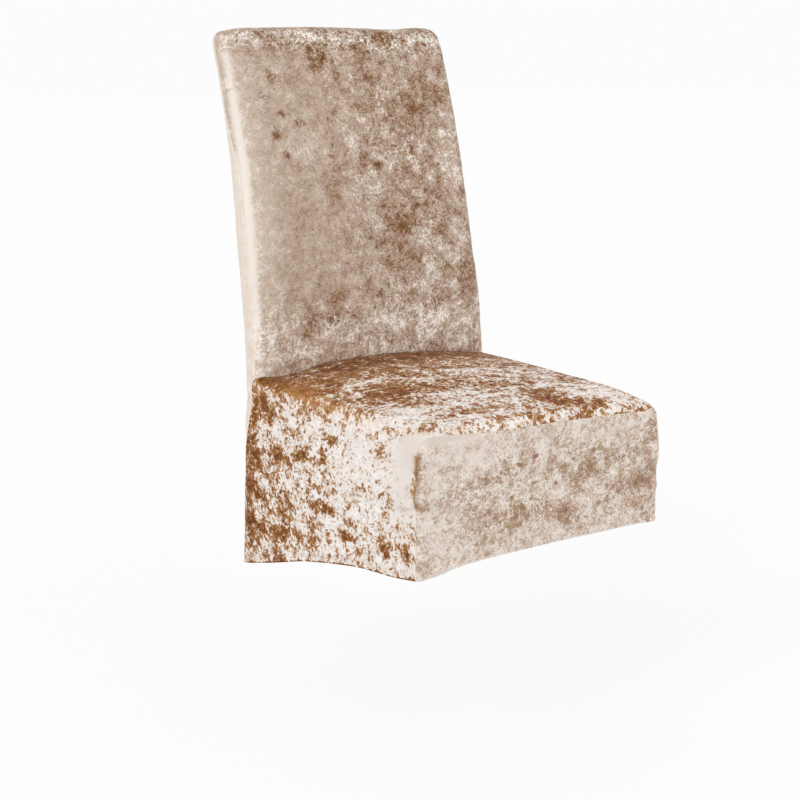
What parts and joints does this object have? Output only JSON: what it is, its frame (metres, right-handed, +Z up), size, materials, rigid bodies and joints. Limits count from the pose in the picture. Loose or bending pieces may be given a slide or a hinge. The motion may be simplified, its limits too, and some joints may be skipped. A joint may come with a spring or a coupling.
{
  "type": "dining chair cover",
  "caption": "Fitted stretch-velvet slipcover for a high-backed dining chair: a hollow leaning back over a soft seat, with skirts whose hem drops towards the rear.",
  "frame": {"origin": "mount chair_back_top: the middle of the chair back's top edge, where the cover hangs", "axes": "+Z up, +X to the cover's right as seen from in front, the seat's front faces -Y"},
  "size_m": [0.447, 0.6094, 0.854],
  "materials": {
    "velvet_seat": "crushed velvet, golden brown against cream",
    "velvet_inside_back": "crushed velvet, beige grey",
    "velvet_outside_back": "crushed velvet, beige against cream",
    "velvet_front_skirt": "crushed velvet, pale pinkish cream"
  },
  "bodies": {
    "root": {"inside_back": "velvet_inside_back", "outside_back": "velvet_outside_back", "seat": "velvet_seat", "front_skirt": "velvet_front_skirt"}
  },
  "joints": []
}
